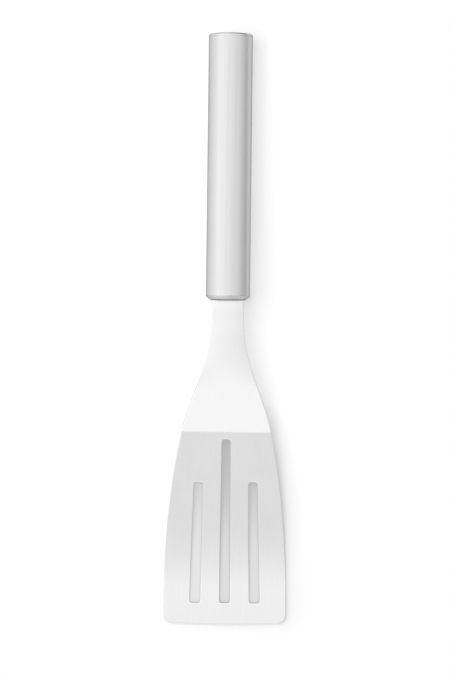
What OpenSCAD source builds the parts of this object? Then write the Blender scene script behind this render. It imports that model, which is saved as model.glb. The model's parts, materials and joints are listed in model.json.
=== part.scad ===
// Slotted kitchen spatula with a hollow steel handle, lying as it rests on a table.
// Millimetres. +Z is up from the table, +Y runs towards the butt of the handle, +X is to the right.
// The origin is under the middle of the whole spatula, on the table.

/* [Handle tube] */
// Outside diameter of the handle tube
handle_d = 25; // [20:0.5:32]
// Length of the handle tube alone
tube_len = 146.8; // [110:1:180]
// Wall of the handle tube
tube_wall = 0.8; // [0.6:0.1:1.5]
// Angle at which the handle climbs from its butt to the shank, in degrees
handle_rise = 2.8; // [2.2:0.1:3.6]

/* [End cap] */
// Length of the cap's lip outside the tube
cap_lip = 1.6; // [1.2:0.1:3]
// Radius of the rounded edge of the lip
cap_edge_r = 0.9; // [0.4:0.1:1.2]
// Length of the cap's spigot inside the tube
cap_spigot_len = 9; // [7:0.5:16]
// Wall of the cap's spigot
cap_spigot_wall = 2.2; // [1.8:0.1:3.5]
// Depth of the seal groove round the spigot
ring_groove_depth = 1; // [0.6:0.1:1.3]
// Width of the seal groove round the spigot
ring_groove_w = 1.5; // [1.3:0.1:3]

/* [Ferrule] */
// Length of the plain band in front of the tube
ferrule_band = 0.3; // [0.2:0.1:2]
// Length of the chamfer along the handle
chamfer_len = 2; // [1:0.1:3]
// Depth of the chamfer across the handle
chamfer_depth = 2.8; // [1:0.1:3]
// Length of the ferrule's skirt inside the tube
skirt_len = 9; // [7:0.5:14]
// Wall of the ferrule's skirt
skirt_wall = 1.2; // [0.8:0.1:1.5]
// Thickness of the gasket's flange inside the skirt
gasket_t = 2; // [1:0.1:3]
// Width of the steel lip round the gasket's nose
nose_lip = 0.6; // [0.4:0.1:1]
// Depth at which the gasket's nose lies behind the lip
nose_recess = 0.3; // [0.1:0.1:0.6]

/* [Blade sheet] */
// Thickness of the steel sheet
sheet_t = 1.3; // [0.8:0.1:1.8]
// Width of the shank where it leaves the ferrule
shank_w = 17.2; // [13:0.2:17.4]
// Straight length of the shank in front of the ferrule
shank_len = 25; // [19:0.5:35]
// Angle by which each side of the shank spreads, in degrees
shank_taper = 2.6; // [0:0.1:4]
// Straight length of the shank's sides before the flare
flare_start = 17.5; // [8:0.5:24]
// Radius of the crown across the shank
crown_r = 42; // [34:1:90]
// Radius of the bend from the shank down into the neck
bend_r = 60; // [40:1:70]
// Slope of the neck below level, in degrees
neck_slope = 21; // [19:0.5:24]
// Radius of the crease between neck and blade
crease_r = 7; // [4:0.5:10]
// Slope of the rear of the blade below level, in degrees
blade_slope = 5.5; // [4:0.1:6.5]
// Length of the straight rear of the blade
rear_len = 47.5; // [38:0.5:56]
// Length of the gentle curve between the rear and the land
sweep_len = 42; // [30:1:60]
// Length of the flat land that lies on the table
land_len = 21.3; // [18:0.1:40]

/* [Blade outline] */
// Width of the sheet at the crease
crease_w = 51; // [40:0.5:60]
// Greatest width of the blade, near its tip
blade_w = 70.2; // [62:0.5:90]
// Fullness of the blade's curved sides
side_fullness = 2.3; // [1.6:0.1:3]
// Radius of the two corners of the tip
corner_r = 5; // [2:0.5:10]
// Radius of the curved front edge
tip_r = 560; // [300:10:900]

/* [Slots] */
// Width of a slot at the rear end of the middle slot
slot_rear_w = 4.8; // [4.4:0.1:6]
// Width of every slot at its front end
slot_front_w = 6; // [4.6:0.1:8]
// Corner radius of the slots
slot_corner_r = 1.4; // [0.6:0.1:2]
// Distance from the crease to the middle slot
middle_slot_gap = 4.6; // [3:0.2:12]
// Distance from the crease to the two side slots
side_slot_gap = 29.1; // [20:0.5:45]
// Distance from the front ends of the slots to the tip
slot_tip_gap = 12.7; // [8:0.1:22]
// Distance of the side slots from the middle, at their front ends
side_slot_x = 17.05; // [14:0.1:20]
// Angle by which the side slots fan out, in degrees
slot_fan = 1.2; // [0:0.1:3]

/* [Core and rivets] */
// Width of the tang
tang_w = 14; // [10:0.5:15]
// Thickness of the tang, pressed thinner than the sheet
tang_t = 1.1; // [0.6:0.1:1.2]
// Length of the tang behind the shoulders of the sheet
tang_len = 54; // [45:1:75]
// Length of the moulded core behind the end of the tang
core_tail = 6; // [3:0.5:20]
// Distance from the shoulders to the first rivet
rivet_inset = 12; // [8:0.5:16]
// Distance between the two rivets
rivet_pitch = 28; // [18:1:32]
// Diameter of the rivets
rivet_d = 4; // [3:0.5:5]
// Diameter of the rivet heads
rivet_head_d = 7; // [6:0.5:9]
// Thickness of the rivet heads
rivet_head_t = 1.2; // [0.8:0.1:2]
// Length that the rivets grip between their heads
rivet_grip = 14; // [10:0.5:16]

/* [Fits] */
// Gap between the tube and what slides into it, on each side
tube_fit = 0.05; // [0.02:0.01:0.1]
// Gap round the shank, the tang and the rivets
sheet_fit = 0.1; // [0.05:0.01:0.2]
// Gap round the gasket and the seal ring
seal_fit = 0.03; // [0.01:0.01:0.1]

/* [Hidden] */
// Overrun of every cutting shape past what it cuts
over = 2;
// Length of the tang let into the sheet
tang_root = 1;
// Overlap that joins the two stretches of the sheet
seam = 0.2;
// Facets of round parts, and steps along the curves of the sheet
round_fn = 96;
bend_steps = 12;
crown_steps = 4;
crown_cells = 10;
crease_steps = 6;
sweep_steps = 14;
flare_steps = 16;
side_steps = 20;
corner_steps = 8;
tip_steps = 8;

// Radii and stations of the handle, measured from the butt along its axis
handle_r = handle_d / 2;
bore_r = handle_r - tube_wall;
inner_r = bore_r - tube_fit;
ferrule_lip = ferrule_band + chamfer_len;
tube_end = cap_lip + tube_len;
handle_len = tube_end + ferrule_lip;
shoulder_at = tube_end - skirt_len;
core_len = tang_len + core_tail;
core_at = shoulder_at - core_len;
rivet_at = [shoulder_at - rivet_inset, shoulder_at - rivet_inset - rivet_pitch];
groove_mid = cap_lip + cap_spigot_len / 2;
groove_r = inner_r - ring_groove_depth;
ring_gap = (bore_r - groove_r) / 2;
ring_section_r = ring_gap - seal_fit;

// Drop and forward run of each stretch of the sheet, from the ferrule to the tip
sweep_r = sweep_len * 180 / (PI * blade_slope);
bend_drop = bend_r * (cos(handle_rise) - cos(neck_slope));
bend_run = bend_r * (sin(handle_rise) + sin(neck_slope));
crease_drop = crease_r * (cos(blade_slope) - cos(neck_slope));
crease_run = crease_r * (sin(neck_slope) - sin(blade_slope));
rear_drop = rear_len * sin(blade_slope);
sweep_drop = sweep_r * (1 - cos(blade_slope));

// The butt rim rests on the table, and the neck is as long as it takes to lay the land on it
butt_z = (handle_r - cap_edge_r) * cos(handle_rise) + cap_edge_r - cap_edge_r * sin(handle_rise);
bend_z = butt_z + (handle_len + shank_len) * sin(handle_rise);
neck_drop = bend_z - bend_drop - crease_drop - rear_drop - sweep_drop - sheet_t / 2;
neck_len = neck_drop / sin(neck_slope);

// Forward distances from the front of the ferrule
crease_d = shank_len * cos(handle_rise) + bend_run + neck_len * cos(neck_slope) + crease_run / 2;
blade_len = crease_run / 2 + rear_len * cos(blade_slope) + sweep_r * sin(blade_slope) + land_len;
tip_d = crease_d + blade_len;

// The whole spatula is centred on the origin along Y
butt_reach = (handle_r - cap_edge_r) * sin(handle_rise) + cap_edge_r * (1 - cos(handle_rise));
ferrule_y = (tip_d - handle_len * cos(handle_rise) - butt_reach) / 2;
butt_y = ferrule_y + handle_len * cos(handle_rise);
tip_y = ferrule_y - tip_d;
cut_top = bend_z + handle_r;

// Outline of the sheet seen from above
half_blade = blade_w / 2;
corner_turn = 90 - asin((half_blade - corner_r) / (tip_r - corner_r));
corner_rise = tip_r - (tip_r - corner_r) * sin(corner_turn);
corner_d = tip_d - corner_rise;
side_gain = half_blade - crease_w / 2;
side_start_slope = side_fullness * side_gain / (corner_d - crease_d);
flare_w = shank_w / 2 + flare_start * tan(shank_taper);
flare_len = crease_d - flare_start;

// Smooth step from 0 to 1
function ease(q) = q * q * (3 - 2 * q);

// Cubic from a to b over the length l, leaving with slope m and arriving with slope n
function cubic(q, a, b, l, m, n) =
    a + (b - a) * ease(q) + l * (m * q * (1 - q) * (1 - q) - n * q * q * (1 - q));

// Half width of the sheet in the flare of the neck and along the blade's sides
function flare_half(q) = cubic(q, flare_w, crease_w / 2, flare_len, tan(shank_taper), side_start_slope);
function side_half(q) = half_blade - side_gain * pow(1 - q, side_fullness);

// A station of the sheet's middle line is its y, its z and its slope below level
function ahead(from, l) = [from[0] - l * cos(from[2]), from[1] - l * sin(from[2]), from[2]];
function bent(from, r, slope) =
    let (s = slope > from[2] ? 1 : -1)
    [from[0] - s * r * (sin(slope) - sin(from[2])), from[1] + s * r * (cos(slope) - cos(from[2])), slope];
function arc_stations(from, r, slope, steps) =
    [for (i = [1 : steps]) bent(from, r, from[2] + (slope - from[2]) * i / steps)];

// Point of the sheet at height v off the middle line of a station
function off_sheet(st, v) = [st[0] - v * sin(st[2]), st[1] + v * cos(st[2])];

shoulder_st = [butt_y - shoulder_at * cos(handle_rise), butt_z + shoulder_at * sin(handle_rise), -handle_rise];
crown_run = skirt_len - gasket_t;
nose_r = handle_r - chamfer_depth - nose_lip;
bend_st = ahead(shoulder_st, skirt_len + ferrule_lip + shank_len);
bend_sts = arc_stations(bend_st, bend_r, neck_slope, bend_steps);
neck_st = bend_sts[bend_steps - 1];
crease_st = ahead(neck_st, neck_len);
rear_st = bent(crease_st, crease_r, blade_slope);
sweep_st = ahead(rear_st, rear_len);
land_st = bent(sweep_st, sweep_r, 0);

// Half width of the sheet at a given y, behind the crease
function half_at(y) =
    let (d = ferrule_y - y)
    d < 0 ? shank_w / 2
        : d < flare_start ? shank_w / 2 + d * tan(shank_taper)
        : flare_half((d - flare_start) / flare_len);

// Crowned stretch: each row is a station and its share of the full crown
crowned = concat(
    [for (i = [0 : crown_steps])
        let (q = i / crown_steps)
        [ahead(shoulder_st, q * crown_run), ease(q)]],
    [[bend_st, 1]],
    [for (i = [1 : bend_steps]) [bend_sts[i - 1], 1 - ease(i / bend_steps)]]
);

// Flat stretch, from just behind the end of the bend past the tip
flat = concat(
    [ahead(neck_st, -seam), crease_st],
    arc_stations(crease_st, crease_r, blade_slope, crease_steps),
    [sweep_st],
    arc_stations(sweep_st, sweep_r, 0, sweep_steps),
    [ahead(land_st, land_len + over)]
);

// Right half of the flat stretch's outline, from behind the bend's end to the middle of the tip
flat_ys = [neck_st[0] + over, off_sheet(neck_st, -sheet_t / 2)[0], off_sheet(neck_st, sheet_t / 2)[0]];
flat_q = (ferrule_y - flat_ys[2] - flare_start) / flare_len;
right_side = concat(
    [for (y = flat_ys) [half_at(y), y]],
    [for (i = [1 : flare_steps - 1])
        let (q = flat_q + (1 - flat_q) * i / flare_steps)
        [flare_half(q), ferrule_y - flare_start - q * flare_len]],
    [for (i = [0 : side_steps - 1])
        let (q = i / side_steps)
        [side_half(q), ferrule_y - crease_d - q * (corner_d - crease_d)]],
    [for (i = [0 : corner_steps])
        let (a = corner_turn * i / corner_steps)
        [half_blade - corner_r * (1 - cos(a)), ferrule_y - corner_d - corner_r * sin(a)]],
    [for (i = [1 : tip_steps])
        let (a = corner_turn + (90 - corner_turn) * i / tip_steps)
        [tip_r * cos(a), tip_y + tip_r * (1 - sin(a))]]
);
left_side = [for (i = [len(right_side) - 2 : -1 : 0]) [-right_side[i][0], right_side[i][1]]];

// Lays a shape drawn along +Z, from the butt, onto the handle's axis
module on_handle() {
    translate([0, butt_y, butt_z])
        rotate([90 - handle_rise, 0, 0])
            children();
}

// Turned shape from a polygon of radius and distance from the butt
module turned(points) {
    rotate_extrude($fn = round_fn)
        polygon(points);
}

// Cross section of the crowned shank, w half wide and t thick, in a plane across the handle
module crown_section(w, t) {
    xs = [for (i = [-crown_cells : crown_cells]) w * i / crown_cells];
    top = [for (x = xs) [x, t / 2 - x * x / (2 * crown_r)]];
    low = [for (i = [len(xs) - 1 : -1 : 0]) [xs[i], -t / 2 - xs[i] * xs[i] / (2 * crown_r)]];
    polygon(concat(top, low));
}

// Slot shape with its front end on the origin, growing wider towards it
module slot_shape(length, rear_w, front_w) {
    side = atan((front_w - rear_w) / (2 * length));
    front_x = front_w / 2 - slot_corner_r;
    rear_x = rear_w / 2 - slot_corner_r;
    rear_y = length - slot_corner_r;
    c = slot_corner_r * cos(side);
    s = slot_corner_r * sin(side);
    right = [
        [front_x, 0],
        [front_x + c, slot_corner_r + s],
        [rear_x + c, rear_y + s],
        [rear_x, length]
    ];
    left = [for (i = [len(right) - 1 : -1 : 0]) [-right[i][0], right[i][1]]];
    polygon(concat(right, left));
    for (x = [-1, 1]) {
        translate([x * front_x, slot_corner_r])
            circle(r = slot_corner_r, $fn = round_fn);
        translate([x * rear_x, rear_y])
            circle(r = slot_corner_r, $fn = round_fn);
    }
}

// The three slots seen from above
module slots() {
    front_y = tip_y + slot_tip_gap;
    middle_len = blade_len - middle_slot_gap - slot_tip_gap;
    side_len = blade_len - side_slot_gap - slot_tip_gap;
    side_rear_w = slot_front_w - (slot_front_w - slot_rear_w) * side_len / middle_len;
    translate([0, front_y])
        slot_shape(middle_len, slot_rear_w, slot_front_w);
    for (s = [-1, 1])
        translate([s * side_slot_x, front_y])
            rotate(s * slot_fan)
                slot_shape(side_len, side_rear_w, slot_front_w);
}

// Stretch of the sheet from its shoulders to the end of the bend, out to its own sides
module crowned_sheet() {
    row = 2 * crown_cells + 1;
    ring = 2 * row;
    last = (len(crowned) - 1) * ring;
    points = [
        for (st = crowned, side = [1, -1])
            let (half = half_at(off_sheet(st[0], side * sheet_t / 2)[0]))
            for (i = [-crown_cells : crown_cells])
                let (x = side * half * i / crown_cells)
                let (p = off_sheet(st[0], side * sheet_t / 2 - st[1] * x * x / (2 * crown_r)))
                [x, p[0], p[1]]
    ];
    skin = [
        for (r = [0 : len(crowned) - 2], i = [0 : ring - 1])
            let (a = r * ring + i, b = r * ring + (i + 1) % ring)
            each [[a, b, b + ring], [a, b + ring, a + ring]]
    ];
    ends = [
        for (i = [0 : row - 2])
            let (c = ring - 2 - i, d = ring - 1 - i)
            each [
                [i, c, i + 1],
                [i, d, c],
                [last + i, last + i + 1, last + c],
                [last + i, last + c, last + d]
            ]
    ];
    polyhedron(points, concat(skin, ends));
}

// Flat bent sheet from the neck past the tip, wider than its outline
module flat_sheet() {
    top = [for (st = flat) off_sheet(st, sheet_t / 2)];
    low = [for (i = [len(flat) - 1 : -1 : 0]) off_sheet(flat[i], -sheet_t / 2)];
    translate([-half_blade - over, 0, 0])
        rotate([90, 0, 90])
            linear_extrude(blade_w + 2 * over)
                polygon(concat(top, low));
}

// Tongue of the sheet inside the core, pressed thinner, with its rivet holes
module tang() {
    on_handle()
        difference() {
            translate([-tang_w / 2, -tang_t / 2, shoulder_at - tang_len])
                cube([tang_w, tang_t, tang_len + tang_root]);
            for (z = rivet_at)
                translate([0, -tang_t, z])
                    rotate([-90, 0, 0])
                        cylinder(d = rivet_d + 2 * sheet_fit, h = 2 * tang_t, $fn = round_fn);
        }
}

// One stamped and bent sheet: tang, crowned shank, neck and slotted blade
module blade() {
    color("gainsboro") {
        tang();
        crowned_sheet();
        intersection() {
            flat_sheet();
            translate([0, 0, -over])
                linear_extrude(cut_top + over)
                    difference() {
                        polygon(concat(right_side, left_side));
                        slots();
                    }
        }
    }
}

// Plain drawn tube, brushed along its length
module handle_tube() {
    color("silver")
        on_handle()
            difference() {
                translate([0, 0, cap_lip])
                    cylinder(r = handle_r, h = tube_len, $fn = round_fn);
                translate([0, 0, cap_lip - over])
                    cylinder(r = bore_r, h = tube_len + 2 * over, $fn = round_fn);
            }
}

// Pressed cap that closes the butt, with a hollow spigot and a groove for its seal
module end_cap() {
    spigot_end = cap_lip + cap_spigot_len;
    color("lightgray")
        on_handle()
            difference() {
                union() {
                    translate([0, 0, cap_edge_r])
                        cylinder(r = handle_r, h = cap_lip - cap_edge_r, $fn = round_fn);
                    cylinder(r = handle_r - cap_edge_r, h = cap_lip, $fn = round_fn);
                    translate([0, 0, cap_edge_r])
                        rotate_extrude($fn = round_fn)
                            translate([handle_r - cap_edge_r, 0])
                                circle(r = cap_edge_r, $fn = round_fn);
                    cylinder(r = inner_r, h = spigot_end, $fn = round_fn);
                }
                translate([0, 0, cap_lip])
                    cylinder(r = inner_r - cap_spigot_wall, h = cap_spigot_len + over, $fn = round_fn);
                translate([0, 0, groove_mid - ring_groove_w / 2])
                    difference() {
                        cylinder(r = bore_r + over, h = ring_groove_w, $fn = round_fn);
                        cylinder(r = groove_r, h = ring_groove_w, $fn = round_fn);
                    }
            }
}

// Rubber seal in the groove of the cap
module cap_ring() {
    color("dimgray")
        on_handle()
            translate([0, 0, groove_mid])
                rotate_extrude($fn = round_fn)
                    translate([groove_r + ring_gap, 0])
                        circle(r = ring_section_r, $fn = round_fn);
}

// Opening for the shank through the ferrule or the gasket, gap wider than the sheet all round
module shank_opening(from, length, gap) {
    translate([0, 0, from])
        linear_extrude(length)
            crown_section(shank_w / 2 + gap, sheet_t + 2 * gap);
}

// Cup in the front of the tube, with a chamfered nose and a round hole for the gasket
module ferrule() {
    color("silver")
        on_handle()
            difference() {
                union() {
                    turned([
                        [0, tube_end],
                        [handle_r, tube_end],
                        [handle_r, tube_end + ferrule_band],
                        [handle_r - chamfer_depth, handle_len],
                        [0, handle_len]
                    ]);
                    translate([0, 0, shoulder_at])
                        cylinder(r = inner_r, h = skirt_len, $fn = round_fn);
                }
                translate([0, 0, shoulder_at - over])
                    cylinder(r = inner_r - skirt_wall, h = skirt_len + over, $fn = round_fn);
                translate([0, 0, tube_end - over])
                    cylinder(r = nose_r, h = ferrule_lip + 2 * over, $fn = round_fn);
                shank_opening(tube_end - over, ferrule_lip + 2 * over, sheet_fit);
            }
}

// Stepped soft plug round the shank that keeps water out of the handle
module shank_gasket() {
    color("dimgray")
        on_handle()
            difference() {
                union() {
                    translate([0, 0, tube_end - gasket_t])
                        cylinder(r = inner_r - skirt_wall - seal_fit, h = gasket_t, $fn = round_fn);
                    translate([0, 0, tube_end - gasket_t])
                        cylinder(r = nose_r - seal_fit, h = gasket_t + ferrule_lip - nose_recess, $fn = round_fn);
                }
                shank_opening(tube_end - gasket_t - over, gasket_t + ferrule_lip + 2 * over, seal_fit);
            }
}

// Half of the moulded core, on the side given by 1 for the upper half and -1 for the lower one
module core_half(side) {
    on_handle()
        difference() {
            intersection() {
                translate([0, 0, core_at])
                    cylinder(r = inner_r, h = core_len, $fn = round_fn);
                translate([-bore_r, side > 0 ? 0 : -bore_r, core_at - over])
                    cube([2 * bore_r, bore_r, core_len + 2 * over]);
            }
            translate([-tang_w / 2 - sheet_fit, -tang_t / 2 - seal_fit, shoulder_at - tang_len - sheet_fit])
                cube([tang_w + 2 * sheet_fit, tang_t + 2 * seal_fit, tang_len + sheet_fit + over]);
            for (z = rivet_at)
                translate([0, 0, z])
                    rotate([-90 * side, 0, 0]) {
                        cylinder(d = rivet_d + 2 * sheet_fit, h = bore_r + over, $fn = round_fn);
                        translate([0, 0, rivet_grip / 2])
                            cylinder(d = rivet_head_d + 2 * sheet_fit, h = bore_r, $fn = round_fn);
                    }
        }
}

// Upper half of the moulded core
module core_upper() {
    color("darkslategray")
        core_half(1);
}

// Lower half of the moulded core
module core_lower() {
    color("darkslategray")
        core_half(-1);
}

// Two rivets through the core and the tang
module tang_rivets() {
    color("darkgray")
        on_handle()
            for (z = rivet_at)
                translate([0, 0, z])
                    rotate([-90, 0, 0]) {
                        cylinder(d = rivet_d, h = rivet_grip, center = true, $fn = round_fn);
                        for (s = [-1, 1])
                            translate([0, 0, s * (rivet_grip + rivet_head_t) / 2])
                                cylinder(d = rivet_head_d, h = rivet_head_t, center = true, $fn = round_fn);
                    }
}

blade();
handle_tube();
end_cap();
cap_ring();
ferrule();
shank_gasket();
core_upper();
core_lower();
tang_rivets();
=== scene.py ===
# %% [markdown]
# # A slotted spatula in stainless steel
# The kitchen tool has a hollow round handle, a ferrule that closes its front, and one bent steel sheet
# that is tang, shank, neck and slotted blade in one. Its solid parts are ready, at their real size.
# This notebook dresses them: it makes fine meshes for what shows, gives every part its finish, and
# lights it like the studio picture. Everything is in metres, in the same frame as the solid parts.

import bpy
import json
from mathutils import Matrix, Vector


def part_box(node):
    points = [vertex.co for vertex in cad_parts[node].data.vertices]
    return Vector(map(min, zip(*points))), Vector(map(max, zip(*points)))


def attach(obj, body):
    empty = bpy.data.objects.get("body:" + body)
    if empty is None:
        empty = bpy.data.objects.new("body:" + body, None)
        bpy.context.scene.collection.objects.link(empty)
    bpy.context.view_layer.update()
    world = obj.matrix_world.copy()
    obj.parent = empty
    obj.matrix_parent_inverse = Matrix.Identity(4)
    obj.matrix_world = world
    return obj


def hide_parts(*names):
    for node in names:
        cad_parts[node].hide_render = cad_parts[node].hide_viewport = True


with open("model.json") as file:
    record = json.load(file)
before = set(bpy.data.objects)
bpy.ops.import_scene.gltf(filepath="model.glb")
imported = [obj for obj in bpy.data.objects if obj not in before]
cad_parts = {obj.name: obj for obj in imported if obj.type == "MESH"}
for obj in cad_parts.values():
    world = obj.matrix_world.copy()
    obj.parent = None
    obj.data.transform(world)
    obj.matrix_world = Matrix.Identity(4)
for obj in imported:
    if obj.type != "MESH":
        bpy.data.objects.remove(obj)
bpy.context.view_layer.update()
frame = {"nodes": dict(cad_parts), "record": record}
print("solid parts:", sorted(frame["nodes"]))

# %% [markdown]
# ## The camera comes first
# The picture was taken from straight above, far away, with the tool almost upright in a tall frame.
# A long lens far away is the way to get that flat look, where the two sides of the handle stay nearly
# parallel. The aim is written as an angle of pitch and a small roll, because the tool lies a little
# askew in the picture.

# %% Camera at the picture's viewing angle
import bpy
import bmesh
import json
import math
import numpy as np
from mathutils import Matrix, Vector
from mathutils.geometry import delaunay_2d_cdt

MM = 0.001
PICTURE_HEIGHT_PX = 675
FOCAL_PX = 3594.4
CAMERA_PLACE = Vector((-1.4, 57.4, 2054.0)) * MM
CAMERA_PITCH = math.radians(1.714)
CAMERA_ROLL = math.radians(0.652)


def add_object(name, data):
    """New object in the scene, at the origin."""
    made = bpy.data.objects.new(name, data)
    bpy.context.scene.collection.objects.link(made)
    return made


def mesh_of(name, points, faces=()):
    """New mesh from points and faces."""
    mesh = bpy.data.meshes.new(name)
    mesh.from_pydata(points, [], faces)
    return mesh


def make_camera():
    """Camera that looks down, with the butt of the handle at the top of the picture."""
    data = bpy.data.cameras.new("picture_camera")
    data.lens = data.sensor_width * FOCAL_PX / PICTURE_HEIGHT_PX
    camera = add_object("picture_camera", data)
    aim = Matrix.Rotation(-CAMERA_PITCH, 4, "X") @ Matrix.Rotation(CAMERA_ROLL, 4, "Z")
    camera.matrix_world = Matrix.Translation(CAMERA_PLACE) @ aim
    bpy.context.scene.camera = camera
    return camera


camera = make_camera()
print("lens in mm:", round(camera.data.lens, 1))

# %% [markdown]
# ## Helpers for node trees
# Every finish, the floor and the room are made of nodes. Adding a node, filling its sockets and doing
# sums with them are short functions, so that a finish reads like a few lines of arithmetic.

# %% Helpers for node trees
def new_material(name):
    """Empty node material with its output node."""
    material = bpy.data.materials.new(name)
    material.use_nodes = True
    material.node_tree.nodes.clear()
    output = material.node_tree.nodes.new("ShaderNodeOutputMaterial")
    return material, material.node_tree, output


def node(tree, kind, settings=None, **sockets):
    """Adds a node, sets its properties and fills or links its named or numbered sockets."""
    made = tree.nodes.new(kind)
    for key, value in (settings or {}).items():
        setattr(made, key, value)
    for key, value in sockets.items():
        wanted = int(key[1:]) if key[0] == "_" else key.replace("_", " ")
        plug(tree, value, made.inputs[wanted])
    return made


def plug(tree, value, socket):
    """Links an output to a socket, or writes a plain value there."""
    if isinstance(value, bpy.types.NodeSocket):
        tree.links.new(value, socket)
    else:
        socket.default_value = value


def read(tree, kind, output):
    """Output of a node that needs no input."""
    return tree.nodes.new(kind).outputs[output]


def math_node(tree, operation, *values):
    """Output of a Math node on two or three values or outputs."""
    made = tree.nodes.new("ShaderNodeMath")
    made.operation = operation
    for value, socket in zip(values, made.inputs):
        plug(tree, value, socket)
    return made.outputs[0]


def vector_math(tree, operation, first, second):
    """Output of a Vector Math node on two vectors."""
    return node(tree, "ShaderNodeVectorMath", {"operation": operation}, _0=first, _1=second).outputs[0]


def vector_of(tree, x=0.0, y=0.0, z=0.0):
    """Vector from three values or outputs."""
    return node(tree, "ShaderNodeCombineXYZ", X=x, Y=y, Z=z).outputs[0]


def parts_of(tree, vector):
    """The X, Y and Z of a vector, by name."""
    return node(tree, "ShaderNodeSeparateXYZ", Vector=vector).outputs


def ranged(tree, value, start, end, low, high, slope="SMOOTHSTEP"):
    """Value that goes from low at start to high at end."""
    made = node(tree, "ShaderNodeMapRange", {"interpolation_type": slope}, Value=value)
    for name, number in zip(("From Min", "From Max", "To Min", "To Max"), (start, end, low, high)):
        plug(tree, number, made.inputs[name])
    return made.outputs["Result"]


def mixed(tree, share, low, high):
    """Value between low and high by a share from 0 to 1."""
    return node(tree, "ShaderNodeMix", {"data_type": "FLOAT"}, _0=share, _2=low, _3=high).outputs[0]


def tone(tree, value):
    """Grey colour from a value."""
    return node(tree, "ShaderNodeCombineColor", Red=value, Green=value, Blue=value).outputs[0]


print("helpers:", new_material.__name__, node.__name__, math_node.__name__, ranged.__name__, mixed.__name__)

# %% [markdown]
# ## Shade on the floor
# Two soft shades go with the tool's shadow. Each measures how much of the sky is shut out round one
# direction. The first lies below the slots and looks up: there the floor is darkest at the rear, where
# the blade stands highest and hides most of the sky, and the middle slot is darker than the outer two.
# The second lies beside the tool, on the side away from the light, and looks back towards the tool.

# %% Shade below the slots and beside the tool
UNDER_SIDE = Vector((-0.15, 0.0, 1.0)).normalized()
UNDER_REACH = 30 * MM
UNDER_LOSS = 0.52
UNDER_FRONT_LOSS = 0.25
UNDER_SHUT_SHARES = (0.1, 0.8)
SKY_SAMPLES = 16
UNDER_HALF_W = 21 * MM
UNDER_FADE = 4 * MM
MIDDLE_SLOT_HALF = 6 * MM
OUTER_SLOT_FROM = 14 * MM
LEFT_SHARE = 0.74
RIGHT_SHARE = 0.92
BESIDE_SIDE = Vector((-0.9, 0.0, 0.45)).normalized()
BESIDE_REACH = 13 * MM
BESIDE_SPREAD = 0.6
BESIDE_BLADE_LOSS = 0.31
BESIDE_HANDLE_LOSS = 0.05
BESIDE_FADE = 10 * MM


def closed_in(tree, reach, side):
    """How much of the sky round one direction is shut out within a reach, from 0 to 1."""
    sky = node(tree, "ShaderNodeAmbientOcclusion", {"samples": SKY_SAMPLES}, Distance=reach,
               Normal=vector_of(tree, side.x, side.y, side.z))
    return math_node(tree, "SUBTRACT", 1.0, sky.outputs["AO"])


def below_blade(tree, spot, rear_y, tip_y):
    """Mask of the floor below the slots, which fades out under the metal round them."""
    off_middle = math_node(tree, "ABSOLUTE", spot["X"])
    sideways = ranged(tree, off_middle, UNDER_HALF_W, UNDER_HALF_W + UNDER_FADE, 1.0, 0.0)
    rear = ranged(tree, spot["Y"], rear_y, rear_y + UNDER_FADE, 1.0, 0.0)
    front = ranged(tree, spot["Y"], tip_y + UNDER_FADE, tip_y + 2 * UNDER_FADE, 0.0, 1.0)
    return math_node(tree, "MULTIPLY", math_node(tree, "MULTIPLY", sideways, rear), front)


def floor_shade(tree, spot, below, handle_y):
    """Share of light that is left where the tool shuts out the sky."""
    left = ranged(tree, spot["X"], -OUTER_SLOT_FROM, -MIDDLE_SLOT_HALF, LEFT_SHARE, 1.0)
    right = ranged(tree, spot["X"], MIDDLE_SLOT_HALF, OUTER_SLOT_FROM, 1.0, RIGHT_SHARE)
    shut = ranged(tree, closed_in(tree, UNDER_REACH, UNDER_SIDE), *UNDER_SHUT_SHARES,
                  UNDER_FRONT_LOSS, UNDER_LOSS, "LINEAR")
    under = math_node(tree, "MULTIPLY", shut, math_node(tree, "MULTIPLY", left, right))
    beside_loss = ranged(tree, spot["Y"], handle_y, handle_y + BESIDE_FADE, BESIDE_BLADE_LOSS,
                         BESIDE_HANDLE_LOSS)
    spread = math_node(tree, "POWER", closed_in(tree, BESIDE_REACH, BESIDE_SIDE), BESIDE_SPREAD)
    beside = math_node(tree, "MULTIPLY", spread, beside_loss)
    return math_node(tree, "SUBTRACT", 1.0, mixed(tree, below, beside, under))


print("shade reaches", UNDER_REACH / MM, "mm below the slots and", BESIDE_REACH / MM, "mm beside the tool")

# %% [markdown]
# ## Floor
# The tool lies on a plain white table. A pale matt floor takes the tool's soft shadow. To show as
# white paper it also glows a little for the camera and for reflections, which lifts its lit part to
# white and leaves the shadow in place. No lamp has to be turned up for it, so the steel keeps its
# own tones. Below the slots the glow takes over more of the tone, because the shade there is even
# from side to side in the picture.

# %% Floor
BOARD_W = 170 * MM
BOARD_LEN = 410 * MM
FLOOR_DROP = 0.02 * MM
FLOOR_COLOUR = 0.68
FLOOR_LIFT = 0.52
FLOOR_IN_STEEL = 0.58
UNDER_LIT_SHARE = 0.35
UNDER_LIFT = 0.80
BLADE_RUN = 110 * MM


def seen_directly(tree, mirrored_share):
    """1 for rays from the camera and through glass, a share for reflections, 0 for the light itself."""
    path = tree.nodes.new("ShaderNodeLightPath").outputs
    mirrored = math_node(tree, "MULTIPLY", path["Is Glossy Ray"], mirrored_share)
    seen = math_node(tree, "MAXIMUM", path["Is Camera Ray"], mirrored)
    return math_node(tree, "MAXIMUM", seen, path["Is Transmission Ray"])


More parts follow.
